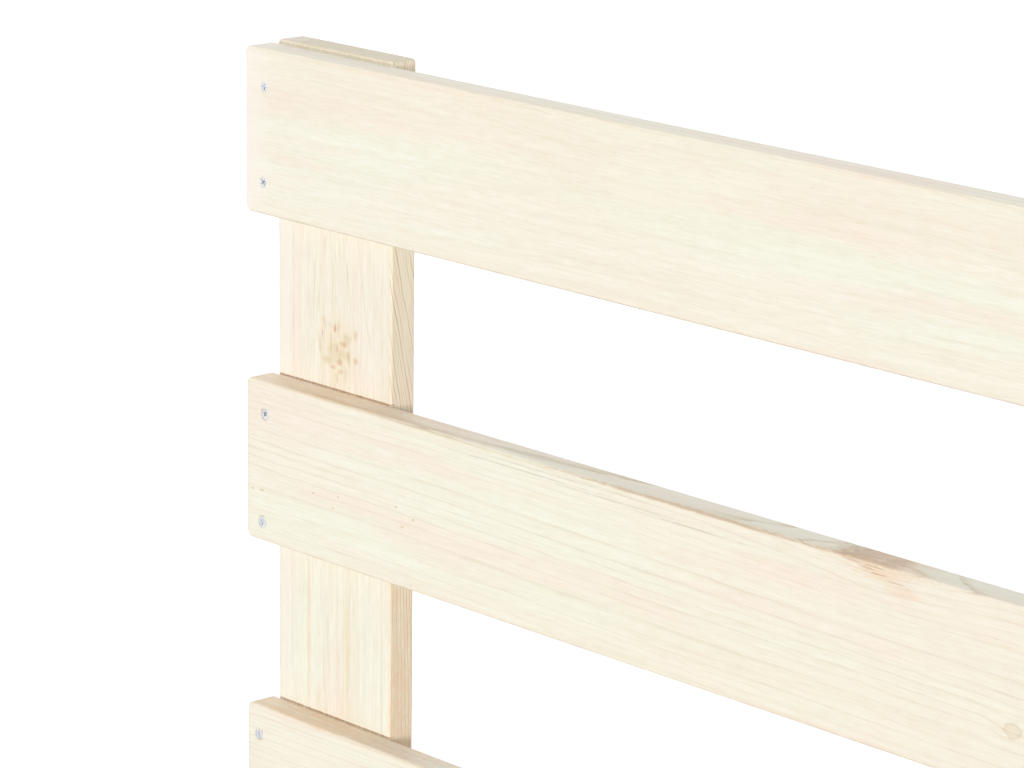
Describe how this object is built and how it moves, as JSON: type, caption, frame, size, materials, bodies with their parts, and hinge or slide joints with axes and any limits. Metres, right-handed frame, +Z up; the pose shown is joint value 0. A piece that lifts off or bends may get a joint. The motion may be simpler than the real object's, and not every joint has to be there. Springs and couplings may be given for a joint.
{
  "type": "pallet bed",
  "caption": "Low pallet-style bed: a base of pine runners, spacer blocks and deck boards, with an open headboard of level slats screwed to upright posts.",
  "frame": {"origin": "middle of the bed's footprint, on the floor", "axes": "+X along the headboard to the right seen from the foot end, +Y towards the headboard, +Z up"},
  "size_m": [1.016, 2.041, 1],
  "materials": {
    "headboard_pine": "planed, bare",
    "base_pine": "planed, bare",
    "block_pine": "planed, bare",
    "deck_pine": "planed, bare",
    "zinc_steel": "bright zinc plating"
  },
  "bodies": {
    "root": {"runner_left": "base_pine", "runner_middle": "base_pine", "runner_right": "base_pine", "tie_board_left": "base_pine", "tie_board_middle": "base_pine", "tie_board_right": "base_pine", "girder_left": "base_pine", "girder_middle": "base_pine", "girder_right": "base_pine", "lower_block_left_1": "block_pine", "lower_block_left_2": "block_pine", "lower_block_left_3": "block_pine", "lower_block_left_4": "block_pine", "lower_block_middle_1": "block_pine", "lower_block_middle_2": "block_pine", "lower_block_middle_3": "block_pine", "lower_block_middle_4": "block_pine", "lower_block_right_1": "block_pine", "lower_block_right_2": "block_pine", "lower_block_right_3": "block_pine", "lower_block_right_4": "block_pine", "upper_block_left_1": "block_pine", "upper_block_left_2": "block_pine", "upper_block_left_3": "block_pine", "upper_block_left_4": "block_pine", "upper_block_middle_1": "block_pine", "upper_block_middle_2": "block_pine", "upper_block_middle_3": "block_pine", "upper_block_middle_4": "block_pine", "upper_block_right_1": "block_pine", "upper_block_right_2": "block_pine", "upper_block_right_3": "block_pine", "upper_block_right_4": "block_pine", "deck_board_01": "deck_pine", "deck_board_02": "deck_pine", "deck_board_03": "deck_pine", "deck_board_04": "deck_pine", "deck_board_05": "deck_pine", "deck_board_06": "deck_pine", "deck_board_07": "deck_pine", "deck_board_08": "deck_pine", "deck_board_09": "deck_pine", "deck_board_10": "deck_pine", "deck_board_11": "deck_pine", "deck_board_12": "deck_pine", "deck_board_13": "deck_pine", "headboard_slat_1": "headboard_pine", "headboard_slat_2": "headboard_pine", "headboard_slat_3": "headboard_pine", "headboard_slat_4": "headboard_pine", "headboard_post_left": "headboard_pine", "headboard_post_right": "headboard_pine", "headboard_screws": "zinc_steel", "deck_screws": "zinc_steel", "girder_screws": "zinc_steel", "runner_screws": "zinc_steel", "coach_screws": "zinc_steel", "coach_washers": "zinc_steel"}
  },
  "joints": []
}
